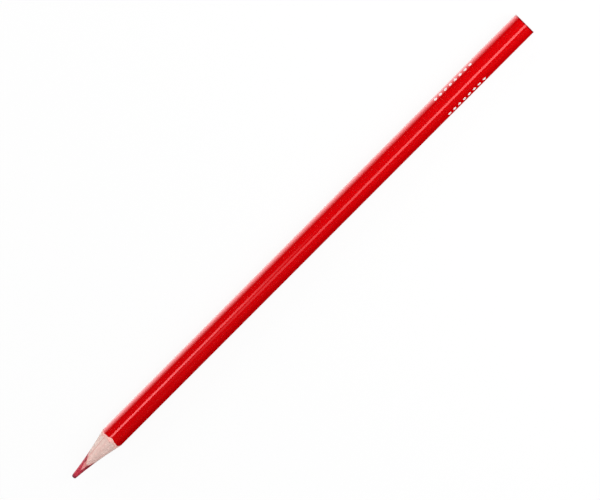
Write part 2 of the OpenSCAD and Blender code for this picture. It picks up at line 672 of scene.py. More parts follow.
class Group(Tree):
    """Geometry Nodes group with named inputs, which turns a starting mesh into a plain piece."""

    def __init__(self, name: str, values: dict[str, Any]) -> None:
        """Makes the group and its sockets.

        Args:
            name: Name of the group.
            values: Value of each input by name; its type gives the socket's.
        """
        super().__init__(bpy.data.node_groups.new(name, "GeometryNodeTree"))
        self.values = values
        self.keys: dict[str, str] = {}
        self._socket("Geometry", "Geometry")
        for label, value in values.items():
            self._socket(label, "Int" if isinstance(value, int) else "Float")
        self._socket("Finish", "Material")
        self.tree.interface.new_socket(name="Geometry", in_out="OUTPUT", socket_type="NodeSocketGeometry")
        self.given = self.node("NodeGroupInput")

    def _socket(self, label: str, kind: str) -> None:
        """Adds one input and keeps its identifier."""
        made = self.tree.interface.new_socket(name=label, in_out="INPUT", socket_type="NodeSocket" + kind)
        self.keys[label] = made.identifier

    def take(self, label: str) -> Sock:
        """Gives one of the group's inputs."""
        return self.sock(self.given, label)

    def end(self, geometry: Any) -> None:
        """Ends the group.

        Args:
            geometry: Geometry that leaves the group.
        """
        real = self.node("GeometryNodeRealizeInstances", {"Geometry": geometry})
        inputs = {"Geometry": real, "Material": self.take("Finish")}
        self.node("NodeGroupOutput", {"Geometry": self.node("GeometryNodeSetMaterial", inputs)})

    def piece(
        self, name: str, start: bpy.types.Mesh, finish: bpy.types.Material, **changes: Any,
    ) -> bpy.types.Object:
        """Runs the group and keeps the result as a plain mesh.

        Args:
            name: Name of the piece.
            start: Mesh that the group starts from.
            finish: Material of the piece.
            **changes: Inputs that differ for this piece, with _ for a space in the name.

        Returns:
            The finished object, at the origin.
        """
        scene = bpy.context.scene
        blank = bpy.data.objects.new(name + "_blank", start)
        scene.collection.objects.link(blank)
        modifier = blank.modifiers.new("shape", "NODES")
        modifier.node_group = self.tree
        changed = {label.replace("_", " "): value for label, value in changes.items()}
        for label, value in {**self.values, **changed, "Finish": finish}.items():
            modifier[self.keys[label]] = value
        blank.update_tag()
        graph = bpy.context.evaluated_depsgraph_get()
        shaped = blank.evaluated_get(graph)
        mesh = bpy.data.meshes.new_from_object(shaped, preserve_all_data_layers=True, depsgraph=graph)
        blank.modifiers.remove(modifier)
        bpy.data.objects.remove(blank)
        mesh.name = name
        mesh.materials.clear()
        mesh.materials.append(finish)
        made = bpy.data.objects.new(name, mesh)
        scene.collection.objects.link(made)
        return made


class GroundPrism(Group):
    """Draws a flat region out along the pencil and grinds its front to the three-sided hollow point.

    A brittle layer ends behind that, at a steeper cone with small chips and a notch on each corner.
    """

    SHARP_TURN = math.radians(30)
    ZONE = "zone"
    TAIL_ZONE = 2
    # Waves, octaves and fine strength of the chips' noise, and its middle, below which nothing is chipped
    CHIP_WAVES = 9.0
    CHIP_DETAIL = 3.0
    CHIP_ROUGH = 0.6
    CHIP_FROM = 0.5
    # The notch starts where the cosine of three times the turn from a corner is this large
    NOTCH_FROM = 0.6
    SLANT_ROUNDS = 4

    def __init__(self, sizes: PencilSizes) -> None:
        """Builds the group.

        Args:
            sizes: Sizes of the pencil.
        """
        centre = sizes.cut().centre()
        super().__init__("ground prism", {
            "Length": sizes.length,
            "Axis height": sizes.axis_height,
            "Tip flat": sizes.tip_flat,
            "Point length": sizes.point_length,
            "Point lean": sizes.point_lean,
            "Hollow radius": sizes.hollow_radius,
            "Cut shift": sizes.cut_shift,
            "Cut centre out": centre[0],
            "Cut centre along": centre[1],
            "Edge start": -sizes.length,
            "Edge slope": sizes.edge_slope,
            "Chip depth": 0.0,
            "Notch depth": 0.0,
        })
        length, start = self.take("Length"), self.given.outputs["Geometry"]
        drawn = self.node("GeometryNodeExtrudeMesh", {
            "Mesh": start, "Offset": self.join(-1.0, 0.0, 0.0), "Offset Scale": length, "Individual": False,
        }, mode="FACES")
        _, across, height = self.split(self.node("GeometryNodeInputPosition"))
        ground = self._ground(across, height - self.take("Axis height"))
        front = self.node("GeometryNodeSetPosition", {
            "Geometry": drawn.outputs["Mesh"], "Selection": drawn.outputs["Top"],
            "Position": self.join(ground - length * 0.5, across, height),
        })
        tail = self.node("GeometryNodeFlipFaces", {"Mesh": start})
        both = self.node("GeometryNodeJoinGeometry", {0: self._zoned(front, drawn.outputs["Top"])})
        self.feed(both.inputs[0], self._zoned(tail, self.TAIL_ZONE))
        welded = self.node("GeometryNodeMergeByDistance", {"Geometry": both, "Distance": WELD})
        self.end(self._shaded(welded))

    def _cuts(self, across: Sock, rise: Sock) -> Sock:
        """Gives how far from the tip the deepest of the three cuts stands, along the grinding axis.

        Args:
            across: Place of the point to the side of the grinding axis.
            rise: Place of the point above it.

        Returns:
            Distance from the tip.
        """
        hollow, shift = self.take("Hollow radius"), self.take("Cut shift")
        out, along = self.take("Cut centre out"), self.take("Cut centre along")
        depth = []
        for k in range(CORNERS):
            turn = (k + 0.5) * 2 * math.pi / CORNERS
            aside, ahead = across + shift * math.sin(turn), rise + shift * math.cos(turn)
            gap = out - (aside * aside + ahead * ahead).root()
            depth.append((hollow * hollow - gap * gap).most(0.0).root())
        return along + depth[0].most(depth[1]).most(depth[2])

    def _ground(self, across: Sock, rise: Sock) -> Sock:
        """Gives how far from the tip the piece's front stands over a point of the section.

        The grinding axis is slanted, so the place of a point beside it depends on the answer.
        A few rounds find it.

        Args:
            across: Place of the point to the side of the barrel's axis.
            rise: Place of the point above it.

        Returns:
            Distance from the tip, along the barrel's axis.
        """
        length, lean = self.take("Point length"), self.take("Point lean")
        slant = lean / length
        cosine = (1.0 + slant * slant) ** -0.5
        sine = slant * cosine
        ground = length * 0.5
        for _ in range(self.SLANT_ROUNDS):
            beside = across * cosine + (length - ground) * sine
            ground = (self._cuts(beside, rise) - across * sine - length * (1.0 - cosine)) / cosine
        aside = across + lean
        worn = (aside * aside + rise * rise).root() - self.take("Tip flat")
        reach = (across * across + rise * rise).root().most(MM)
        broken = self.take("Edge start") + reach / self.take("Edge slope")
        rough = self._rough(across / reach, rise / reach)
        return ground.most(worn).most(broken).most(0.0) + rough

    def _rough(self, sideways: Sock, upright: Sock) -> Sock:
        """Gives how far the chips and the notches cut the front back in one direction from the axis.

        Args:
            sideways: Sine of the direction's turn from straight up.
            upright: Cosine of that turn.

        Returns:
            Distance along the barrel.
        """
        way = self.join(sideways * self.CHIP_WAVES, upright * self.CHIP_WAVES, 0.0)
        chip = (self.noise_at(way, self.CHIP_DETAIL, self.CHIP_ROUGH) - self.CHIP_FROM).most(0.0)
        # The cosine of three times the turn is one on every corner and minus one on every face
        corner = upright * (upright * upright * 4.0 - 3.0)
        notch = ((corner - self.NOTCH_FROM) / (1.0 - self.NOTCH_FROM)).most(0.0)
        return chip * self.take("Chip depth") + notch * self.take("Notch depth")

    def _zoned(self, geometry: Any, zone: Any) -> bpy.types.Node:
        """Marks every face of a geometry with the zone it belongs to."""
        inputs = {"Geometry": geometry, "Name": self.ZONE, "Value": zone}
        return self.node("GeometryNodeStoreNamedAttribute", inputs, data_type="INT", domain="FACE")

    def _shaded(self, geometry: Any) -> bpy.types.Node:
        """Shades the walls smooth and keeps the edges between zones and all steep edges sharp.

        Args:
            geometry: The closed piece.

        Returns:
            Node with the shaded piece.
        """
        zone = self.node("GeometryNodeInputNamedAttribute", {"Name": self.ZONE}, data_type="INT")
        rim = self.sock(self.node("GeometryNodeMeshFaceSetBoundaries", {0: zone}))
        bend = self.sock(self.node("GeometryNodeInputMeshEdgeAngle"), "Unsigned Angle")
        inputs = {"Geometry": geometry, "Shade Smooth": True}
        soft = self.node("GeometryNodeSetShadeSmooth", inputs, domain="FACE")
        steep = rim.most(bend > self.SHARP_TURN)
        inputs = {"Geometry": soft, "Selection": steep, "Shade Smooth": False}
        crisp = self.node("GeometryNodeSetShadeSmooth", inputs, domain="EDGE")
        return self.node("GeometryNodeRemoveAttribute", {"Geometry": crisp, "Name": self.ZONE})


class DotRow(Group):
    """Sets low round dots of foil at even steps along edges that lie on the barrel's two upper faces."""

    def __init__(self, count: int, radius: float, bevel: float, thickness: float, facets: int) -> None:
        """Builds the group.

        Args:
            count: Dots along each edge.
            radius: Radius of a dot.
            bevel: Width of its sloping rim.
            thickness: Thickness of the foil.
            facets: Sides of a dot.
        """
        super().__init__("dot row", {
            "Count": count, "Radius": radius, "Bevel": bevel, "Thickness": thickness, "Facets": facets,
            "Face turn": HALF_STEP,
        })
        wide = self.take("Radius")
        lines = self.node("GeometryNodeMeshToCurve", {"Mesh": self.given.outputs["Geometry"]})
        spots = self.node("GeometryNodeResampleCurve", {"Curve": lines, "Count": self.take("Count")})
        dot = self.node("GeometryNodeMeshCone", {
            "Vertices": self.take("Facets"), "Depth": self.take("Thickness"),
            "Radius Top": wide - self.take("Bevel"), "Radius Bottom": wide,
        }, fill_type="NGON")
        _, across, _ = self.split(self.node("GeometryNodeInputPosition"))
        turn = (1.0 - (across > 0.0) * 2.0) * self.take("Face turn")
        inputs = {"Points": spots, "Instance": dot, "Rotation": self.join(turn, 0.0, 0.0)}
        self.end(self.node("GeometryNodeInstanceOnPoints", inputs))


def settle(piece: bpy.types.Object, node: Optional[str] = None) -> None:
    """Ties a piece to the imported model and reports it.

    Args:
        piece: Finished object.
        node: Solid that the piece stands for, if any.
    """
    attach(piece, BODY)
    if node:
        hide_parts(node)
    LOG.info("%s: %d faces", piece.name, len(piece.data.polygons))


@dataclass(frozen=True)
class WoodFinish:
    """Bare wood with faint growth rings, fibres and pores, drum marks, and red dust near the core."""

    name: str
    light: Colour
    dark: Colour
    dust: Colour
    ring_turn: float
    ring_pitch: float
    shift: float

    WANDER = Grain((0.05, 0.35, 0.35))
    FIBRE = Grain((0.35, 12.0, 12.0), 3.0, 3.0, 0.6, high=0.75, share=0.25)
    PORE = Grain((0.9, 19.0, 19.0), 1.0, 9.0, low=0.66, high=0.74)
    CLOUD = Grain((0.3, 0.8, 0.8), 2.0, 5.0, low=0.35, share=0.4)
    SMEAR = Grain((1.2, 3.0, 3.0), 3.0, low=0.35)
    FLUSH = Grain((0.5, 1.0, 1.0), 2.0, 13.0, low=0.55, high=0.72)
    SAW = Grain((0.0, 7.0, 0.7), 2.0, 1.0)
    # Slope of the rings along the pencil, how far they wander, how steep they are and their share
    RING_SLOPE, RING_WANDER, RING_POWER, RING_SHARE = 0.012, 1.6, 3.0, 0.3
    # Shares of the darker and the dusty parts
    PORE_SHARE, SMEAR_SHARE, TONGUE_SHARE, FLUSH_SHARE = 0.3, 0.35, 0.6, 0.16
    # Reach of the dust from the groove, and of the dust on the tongue outside and inside the groove
    SMEAR_REACH, TONGUE_OUT, TONGUE_IN = 0.7, 0.16, 0.05
    # Square of the tongue's half width
    TONGUE_WIDE = 0.4
    # Waves of the drum marks per millimetre, and the weights and height of the relief
    DRUM_RINGS, FIBRE_RISE, DRUM_RISE, SAW_RISE, PORE_FALL, RELIEF = 7.0, 0.5, 0.6, 0.8, 0.5, 0.007
    ROUGH, FIBRE_ROUGH = 0.62, 0.2

    def material(self, sizes: PencilSizes) -> bpy.types.Material:
        """Makes the material.

        Args:
            sizes: Sizes of the pencil.

        Returns:
            The finished material.
        """
        sh = Shader(self.name)
        groove = sizes.groove_radius / MM
        line = sh.across * math.sin(self.ring_turn) + sh.up * math.cos(self.ring_turn)
        line = line + sh.along * self.RING_SLOPE
        wander = sh.noise(self.WANDER, self.shift) * self.RING_WANDER
        ring = (line / self.ring_pitch + wander).fraction() ** self.RING_POWER
        fibre = sh.noise(self.FIBRE, self.shift)
        pore = self.PORE.mask(sh.noise(self.PORE, self.shift))
        cloud = self.CLOUD.mask(sh.noise(self.CLOUD, self.shift))
        tone = (ring * self.RING_SHARE + self.FIBRE.mask(fibre) + cloud).least(1.0)
        wood = sh.mix(tone, self.light, self.dark)
        wood = sh.mix(pore * self.PORE_SHARE, wood, self.dark, "MULTIPLY")
        centre, front = sh.from_core(sizes), sh.front()
        smear = centre.step(groove + self.SMEAR_REACH, groove)
        smear = smear * self.SMEAR.mask(sh.noise(self.SMEAR, self.shift))
        wood = sh.mix(smear * front * self.SMEAR_SHARE, wood, self.dust)
        tongue = centre.step(groove + self.TONGUE_OUT, groove - self.TONGUE_IN)
        tongue = tongue * (sh.across * sh.across).step(self.TONGUE_WIDE, 0.0)
        wood = sh.mix(tongue * front * self.TONGUE_SHARE, wood, self.dust)
        flush = self.FLUSH.mask(sh.noise(self.FLUSH, self.shift))
        wood = sh.mix(flush * front * self.FLUSH_SHARE, wood, self.dust)
        drum = sh.drum(sizes, self.DRUM_RINGS, self.shift) * front * self.DRUM_RISE
        saw = sh.noise(self.SAW, self.shift) * (1.0 - front) * self.SAW_RISE
        relief = fibre * self.FIBRE_RISE + drum + saw - pore * self.PORE_FALL
        return sh.finish(
            Base_Color=wood, Roughness=self.ROUGH + self.FIBRE_ROUGH * fibre,
            Normal=sh.bump(relief, self.RELIEF), Specular_IOR_Level=0.25,
        )


@dataclass(frozen=True)
class CoreFinish:
    """Waxy pigment core, mottled, with drum marks, painted shade along its wall at the arms and over its
    tip, and a pale painted highlight just inside the wall between the arms.
    """

    name: str
    light: Colour
    dark: Colour
    # Colour of the painted shade along the wall at the arms
    rim: Colour
    # Colour of the pale painted highlight just inside the wall between the arms
    smear: Colour
    # Colour of the painted shade over the tip's end
    tip: Colour

    CLOUD = Grain((0.8, 1.6, 1.6), 4.0, 2.0, 0.6, share=0.7)
    WEAR = Grain((3.0, 3.0, 3.0), 3.0, 7.0, high=0.6, share=0.4)
    GRIT = Grain((6.0, 6.0, 6.0), 3.0, 1.0)
    # Waves of the drum marks per millimetre, their shift, the ramp that makes them a mask and its share
    DRUM_RINGS, DRUM_SHIFT, DRUM_LOW, DRUM_HIGH, DRUM_SHARE = 9.0, 4.0, 0.35, 0.75, 0.4
    # Width of the painted shade along the wall, and the band of the painted highlight inside the wall
    RIM_WIDE, SMEAR_IN, SMEAR_OUT = 0.45, 0.24, 0.06
    # Squares of the distances from the middle between which the painted highlight gives way to the painted
    # shade
    ARMS_FROM, ARMS_FULL = 0.05, 0.5
    RIM_SHARE, SMEAR_SHARE, WORN_SHARE = 0.85, 0.9, 0.9
    # End of the painted shade over the tip and its full strength, from the tip, and the least of its
    # mottling
    WORN_END, WORN_FULL, WORN_LEAST = 1.2, 0.2, 0.6
    DRUM_RISE, GRIT_RISE, RELIEF = 0.7, 0.5, 0.012
    ROUGH, CLOUD_ROUGH = 0.42, 0.2

    def material(self, sizes: PencilSizes) -> bpy.types.Material:
        """Makes the material.

        Args:
            sizes: Sizes of the pencil.

        Returns:
            The finished material.
        """
        sh = Shader(self.name)
        start, wall = -sizes.length / 2 / MM, sizes.core_radius / MM
        cloud = sh.noise(self.CLOUD)
        drum = sh.drum(sizes, self.DRUM_RINGS, self.DRUM_SHIFT)
        streaks = drum.step(self.DRUM_LOW, self.DRUM_HIGH) * self.DRUM_SHARE
        wax = sh.mix((self.CLOUD.mask(cloud) + streaks).least(1.0), self.light, self.dark)
        centre, front = sh.from_core(sizes), sh.front()
        arms = (sh.across * sh.across).step(self.ARMS_FROM, self.ARMS_FULL)
        # Painted shade along the wall at the arms
        burnish = centre.step(wall - self.RIM_WIDE, wall) * arms
        wax = sh.mix(burnish * front * self.RIM_SHARE, wax, self.rim)
        # Pale painted highlight just inside the wall, between the arms
        smear = centre.step(wall - self.SMEAR_IN, wall - self.SMEAR_OUT) * (1.0 - arms)
        wax = sh.mix(smear * front * self.SMEAR_SHARE, wax, self.smear)
        # Painted shade over the tip's end, mottled
        worn = sh.along.step(start + self.WORN_END, start + self.WORN_FULL)
        worn = worn * (self.WORN_LEAST + self.WEAR.mask(sh.noise(self.WEAR)))
        wax = sh.mix(worn * self.WORN_SHARE, wax, self.tip)
        relief = drum * self.DRUM_RISE + sh.noise(self.GRIT) * self.GRIT_RISE
        return sh.finish(
            Base_Color=wax, Roughness=self.ROUGH + self.CLOUD_ROUGH * cloud,
            Normal=sh.bump(relief, self.RELIEF), Specular_IOR_Level=0.35,
        )


@dataclass(frozen=True)
class CoatFinish:
    """Colour coat of primer or lacquer, matte where it was ground through."""

    name: str
    light: Colour
    dark: Colour
    roughness: float

    FLOW = Grain((0.06, 0.5, 0.5), 2.0, 1.0, share=0.5)
    GRAIN = Grain((4.0, 4.0, 4.0), 2.0, 6.0, high=0.8, share=0.5)
    GRAIN_ROUGH, RELIEF = 0.15, 0.008

    def material(self) -> bpy.types.Material:
        """Makes the material.

        Returns:
            The finished material.
        """
        sh = Shader(self.name)
        flow, grain = sh.noise(self.FLOW), sh.noise(self.GRAIN)
        tone = (self.FLOW.mask(flow) + self.GRAIN.mask(grain)).least(1.0)
        return sh.finish(
            Base_Color=sh.mix(tone, self.light, self.dark),
            Roughness=self.roughness + self.GRAIN_ROUGH * grain,
            Normal=sh.bump(grain, self.RELIEF), Specular_IOR_Level=0.3,
        )


@dataclass(frozen=True)
class VarnishFinish:
    """Clear gloss over the red, with a slow dipped flow, fine peel, specks, scuffs and painted shade along
    the tail's edge.
    """

    name: str
    light: Colour
    dark: Colour
    # Colour of the painted shade along the tail's edge
    sawn: Colour

    FLOW = Grain((0.05, 0.35, 0.35), 2.0, 1.0, share=0.6)
    GRAIN = Grain((3.0, 3.0, 3.0), 2.0, 6.0, high=0.8, share=0.4)
    SPECK = Grain((4.0, 4.0, 4.0), 0.0, 12.0, low=0.82, high=0.88, share=0.3)
    PEEL = Grain((0.6, 1.1, 1.1), 1.0, 3.0)
    SCUFF = Grain((0.35, 9.0, 9.0), 2.0, 8.0, low=0.58, high=0.8)
    # Start and full strength of the painted shade along the tail's edge, from the tail, and the halves of
    # its mottling
    SAWN_START, SAWN_FULL, SAWN_LEAST, SAWN_MORE = 0.5, 0.1, 0.5, 0.5
    FLOW_RISE, PEEL_RISE, RELIEF = 0.8, 0.2, 0.0005
    ROUGH, SCUFF_ROUGH, COAT, SCUFF_COAT = 0.35, 0.1, 1.0, 0.15

    def material(self, sizes: PencilSizes) -> bpy.types.Material:
        """Makes the material.

        Args:
            sizes: Sizes of the pencil.

        Returns:
            The finished material.
        """
        sh = Shader(self.name)
        tail = sizes.length / 2 / MM
        flow, grain = sh.noise(self.FLOW), sh.noise(self.GRAIN)
        tone = (self.FLOW.mask(flow) + self.GRAIN.mask(grain)).least(1.0)
        colour = sh.mix(tone, self.light, self.dark)
        colour = sh.mix(self.SPECK.mask(sh.noise(self.SPECK)), colour, self.dark, "MULTIPLY")
        # Painted shade along the tail's edge, mottled by the grain
        sawn = sh.along.step(tail - self.SAWN_START, tail - self.SAWN_FULL)
        colour = sh.mix(sawn * (self.SAWN_LEAST + self.SAWN_MORE * grain), colour, self.sawn)
        scuff = self.SCUFF.mask(sh.noise(self.SCUFF))
        relief = flow * self.FLOW_RISE + sh.noise(self.PEEL) * self.PEEL_RISE
        return sh.finish(
            Base_Color=colour, Roughness=self.ROUGH + self.SCUFF_ROUGH * scuff,
            Normal=sh.bump(relief, self.RELIEF), Coat_Weight=self.COAT - self.SCUFF_COAT * scuff,
            Coat_Roughness=0.07, Coat_IOR=1.5, Specular_IOR_Level=0.0,
        )


@dataclass(frozen=True)
class GlueFinish:
    """Dried glue, pale and a little cloudy, with red dust where the point was ground."""

    name: str
    light: Colour
    dark: Colour
    dust: Colour

    CLOUD = Grain((0.6, 2.0, 2.0), 3.0, 4.0)
    # Least share of the dust, and the ramp of the cloud that adds the rest
    DUST_LEAST, DUST_LOW, DUST_HIGH, DUST_MORE = 0.6, 0.35, 0.6, 0.4
    ROUGH, CLOUD_ROUGH, RELIEF = 0.4, 0.2, 0.01

    def material(self) -> bpy.types.Material:
        """Makes the material.

        Returns:
            The finished material.
        """
        sh = Shader(self.name)
        cloud = sh.noise(self.CLOUD)
        glue = sh.mix(self.CLOUD.mask(cloud), self.light, self.dark)
        dusty = self.DUST_LEAST + self.DUST_MORE * cloud.step(self.DUST_LOW, self.DUST_HIGH)
        return sh.finish(
            Base_Color=sh.mix(sh.front() * dusty, glue, self.dust),
            Roughness=self.ROUGH + self.CLOUD_ROUGH * cloud,
            Normal=sh.bump(cloud, self.RELIEF), Specular_IOR_Level=0.35,
        )


@dataclass(frozen=True)
class FoilFinish:
    """White pigment foil, a little worn so that the red shows through."""

    name: str
    light: Colour
    worn: Colour

    WEAR = Grain((3.0, 5.0, 5.0), 3.0, 4.0, 0.6, low=0.55, high=0.8, share=0.6)
    GRAIN = Grain((14.0, 14.0, 14.0), 2.0, 2.0)
    ROUGH, GRAIN_ROUGH, RELIEF = 0.45, 0.2, 0.002

    def material(self) -> bpy.types.Material:
        """Makes the material.

        Returns:
            The finished material.
        """
        sh = Shader(self.name)
        wear, grain = self.WEAR.mask(sh.noise(self.WEAR)), sh.noise(self.GRAIN)
        return sh.finish(
            Base_Color=sh.mix(wear, self.light, self.worn), Roughness=self.ROUGH + self.GRAIN_ROUGH * grain,
            Normal=sh.bump(grain, self.RELIEF), Specular_IOR_Level=0.35,
        )


@dataclass
class Core:
    """Colour core with its blunt tip."""

    sizes: PencilSizes
    shape: GroundPrism
    steps: int = 360
    rows: int = 24
    wax: CoreFinish = CoreFinish(
        "crimson wax", light=srgb(204, 60, 80), dark=srgb(184, 44, 62),
        # rim and tip are painted shade, along the wall at the arms and over the tip's end; smear is a pale
        # painted highlight
        rim=srgb(112, 20, 36), smear=srgb(250, 164, 164), tip=srgb(104, 34, 62),
    )

    def build(self) -> None:
        """Builds and dresses the core."""
        s = self.sizes
        turns = [2 * math.pi * i / self.steps for i in range(self.steps)]
        flat = [around(s.tip_centre, s.tip_flat, turn) for turn in turns]
        wall = [self._wall(turn) for turn in turns]
        region = Region(s).disc(s.tip_centre, flat).strip(flat, wall, self.rows, True)
        piece = self.shape.piece("colour_core", region.mesh("core_section"), self.wax.material(s))
        settle(piece, "core")

    def _wall(self, turn: float) -> Point:
        """Finds the core's wall in one direction from the tip's centre.

        Args:
            turn: Angle of the direction from straight up.

        Returns:
            The point on the wall.
        """
        way, hub, centre = (math.sin(turn), math.cos(turn)), self.sizes.tip_centre, self.sizes.core_centre
        gap = (centre[0] - hub[0], centre[1] - hub[1])
        ahead = way[0] * gap[0] + way[1] * gap[1]
        aside = gap[0] ** 2 + gap[1] ** 2 - ahead ** 2
        return around(hub, ahead + math.sqrt(self.sizes.core_radius ** 2 - aside), turn)


# Dust of the core, which the grinding leaves on the wood and the glue
RED_DUST = srgb(226, 108, 112)


@dataclass
class Casing:
    """Two grooved slats and the glue between them."""

    sizes: PencilSizes
    shape: GroundPrism
    outline: Outline
    steps: int = 240
    rows: int = 32
    sleeve_rows: int = 2
    fin_rows: int = 14
    beige: WoodFinish = WoodFinish(
        "beige wood", light=srgb(254, 231, 221), dark=srgb(240, 211, 199), dust=RED_DUST,
        ring_turn=math.radians(70), ring_pitch=1.3, shift=0.0,
    )
    pink: WoodFinish = WoodFinish(
        "pink wood", light=srgb(252, 221, 211), dark=srgb(234, 196, 186), dust=RED_DUST,
        ring_turn=math.radians(35), ring_pitch=1.1, shift=21.0,
    )
    glue: GlueFinish = GlueFinish("dried glue", srgb(226, 192, 176), srgb(208, 168, 152), RED_DUST)

    def build(self) -> None:
        """Builds and dresses the slats and the glue."""
        film = self.shape.piece("glue_line", self._film().mesh("glue_section"), self.glue.material())
        self._slat(Side.CORNER, self.beige, "wood_beige")
        self._slat(Side.FACE, self.pink, "wood_pink")
        settle(film, "glue_film")

    def _slat(self, side: Side, finish: WoodFinish, slot: str) -> None:
        """Makes one slat.

        Args:
            side: Side of the seam.
            finish: Its wood.
            slot: Not used.
        """
        s, off, word = self.sizes, side.value * self.sizes.glue / 2, side.name.lower()
        turns = [math.pi * i / (2 * self.steps) for i in range(4 * self.steps)]
        outer = self.outline.beside(self.outline.layer(s.wood_corner), off, self.steps)
        inner = self.outline.beside(self.outline.circle(s.groove_radius, turns), off, self.steps)
        region = Region(s).strip(inner, outer, self.rows, False)
        piece = self.shape.piece(word + "_slat", region.mesh(word + "_section"), finish.material(s))
        settle(piece, "slat_" + word)

    def _film(self) -> Region:
        """Draws the glue's section: a sleeve around the core and a fin on each side of it.

        Returns:
            The region.
        """
        s, half, seam = self.sizes, self.sizes.glue / 2, Outline.SEAM_TURN
        wood = self.outline.layer(s.wood_corner)
        base = math.asin(half / s.groove_radius)
        span = math.pi - 2 * base
        turns = []
        for start in (seam, seam + math.pi):
            turns += [start - base, start, start + base]
            turns += [start + base + span * i / self.steps for i in range(1, self.steps)]
        sleeve = self.outline.circle(s.core_radius, turns)
        groove = self.outline.circle(s.groove_radius, turns)
        region = Region(s).strip(sleeve, groove, self.sleeve_rows, True)
        for first, upper in ((0, True), (self.steps + 2, False)):
            foot = groove[first:first + 3]
            offs = [self.outline.off_seam(point) for point in foot]
            head = [self.outline.crossing(wood, off, upper)[1] for off in offs]
            region.strip(foot, head, self.fin_rows, False)
        return region


@dataclass
class Coats:
    """Primer, lacquer and varnish around the barrel; the last two are chipped and notched at the point."""

    sizes: PencilSizes
    shape: GroundPrism
    outline: Outline
    rows: int = 2
    chip: float = 0.5 * MM
    notch: float = 0.36 * MM
    primer: CoatFinish = CoatFinish("salmon primer", srgb(255, 204, 194), srgb(248, 188, 178), 0.55)
    lacquer: CoatFinish = CoatFinish("red lacquer", srgb(208, 14, 20), srgb(190, 8, 14), 0.35)
    # The last colour is painted shade along the tail's edge
    varnish: VarnishFinish = VarnishFinish(
        "varnished red", light=srgb(211, 1, 6), dark=srgb(203, 1, 5), sawn=srgb(104, 2, 10),
    )

    def build(self) -> None:
        """Builds and dresses the three coats."""
        s = self.sizes
        brittle = {"Edge_start": s.edge_start, "Chip_depth": self.chip, "Notch_depth": self.notch}
        primer, lacquer = self.primer.material(), self.lacquer.material()
        plan = (
            ("primer", primer, s.wood_corner, s.primer_corner, {}),
            ("lacquer", lacquer, s.primer_corner, s.lacquer_corner, brittle),
            ("varnish", self.varnish.material(s), s.lacquer_corner, s.corner_radius, brittle),
        )
        for word, finish, inner, outer, edge in plan:
            curves = (self.outline.layer(inner), self.outline.layer(outer))
            region = Region(s).strip(*curves, self.rows, True)
            piece = self.shape.piece(word + "_layer", region.mesh(word + "_section"), finish, **edge)
            settle(piece, word + "_coat")


@dataclass
class Dots:
    """Plain rows of foil dots near the tail, one on each upper face."""

    sizes: PencilSizes
    count: int = 8
    radius: float = 0.5 * MM
    bevel: float = 0.012 * MM
    thickness: float = 0.012 * MM
    facets: int = 32
    start: float = 57.0 * MM
    end: float = 70.0 * MM
    foil: FoilFinish = FoilFinish("white foil", srgb(247, 240, 240), srgb(226, 120, 124))

    def build(self) -> None:
        """Builds and dresses both rows."""
        land = self.sizes.axis_height
        spots = []
        for way in (1, -1):
            aside, height = way * land * math.sin(HALF_STEP), land * (1 + math.cos(HALF_STEP))
            spots += [(self.start, aside, height), (self.end, aside, height)]
        lines = bpy.data.meshes.new("dot_lines")
        lines.from_pydata(spots, [(0, 1), (2, 3)], [])
        row = DotRow(self.count, self.radius, self.bevel, self.thickness, self.facets)
        settle(row.piece("foil_dots", lines, self.foil.material()))


def hide(item: bpy.types.Object, *rays: str) -> None:
    """Hides an object from some kinds of ray."""
    for ray in rays:
        setattr(item, "visible_" + ray, False)


def square_to(back: Vector) -> Vector:
    """Gives the direction along the pencil, made square to another direction."""
    along = Vector((1.0, 0.0, 0.0))
    return (along - back * along.dot(back)).normalized()


def stand(item: bpy.types.Object, spot: Vector, right: Vector, up: Vector, back: Vector) -> None:
    """Puts a lamp or a camera into the scene, at a place and turned to three directions."""
    item.matrix_world = Matrix.Translation(spot) @ Matrix((right, up, back)).transposed().to_4x4()
    bpy.context.scene.collection.objects.link(item)


def sheet(
    name: str, along: Point, across: Point, height: float, finish: bpy.types.Material,
) -> bpy.types.Object:
    """Lays a flat sheet on the stage, in millimetres.

    Args:
        name: Name of the object.
        along: Its two ends along X.
        across: Its two ends along Y.
        height: Its height.
        finish: Its material.

    Returns:
        The new object.
    """
    (x0, x1), (y0, y1) = along, across
    corners = [(x0, y0), (x1, y0), (x1, y1), (x0, y1)]
    mesh = bpy.data.meshes.new(name)
    mesh.from_pydata([(x * MM, y * MM, height * MM) for x, y in corners], [], [range(len(corners))])
    mesh.materials.append(finish)
    made = bpy.data.objects.new(name, mesh)
    bpy.context.scene.collection.objects.link(made)
    return made


@dataclass(frozen=True)
class Ramp:
    """Change from dark to full brightness between two places, in millimetres."""

    dark: float
    full: float
    share: float = 1.0


@dataclass(frozen=True)
class Panel:
    """Flat card that only reflections see, with a glow that fades along its sides; lengths in millimetres.

    The glow is the sum of its rises across the pencil, cut down by every ramp in sides and ends.
    """

    name: str
    along: Point
    across: Point
    height: float
    level: float = 0.0
    tint: Colour = WHITE
    rises: tuple[Ramp, ...] = ()
    sides: tuple[Ramp, ...] = ()
    ends: tuple[Ramp, ...] = ()

    def material(self) -> bpy.types.Material:
        """Makes the glowing material.

        Returns:
            The finished material.
        """
        sh = Shader(self.name)
        glow = sum(sh.across.step(ramp.dark, ramp.full) * ramp.share for ramp in self.rises)
        for ramp in self.sides:
            glow = glow * sh.across.step(ramp.dark, ramp.full)
        for ramp in self.ends:
            glow = glow * sh.along.step(ramp.dark, ramp.full)
        return sh.glow(glow, self.tint, self.level)

    def build(self) -> None:
        """Hangs the card."""
        card = sheet(self.name, self.along, self.across, self.height, self.material())
        hide(card, "camera", "diffuse", "shadow", "transmission")


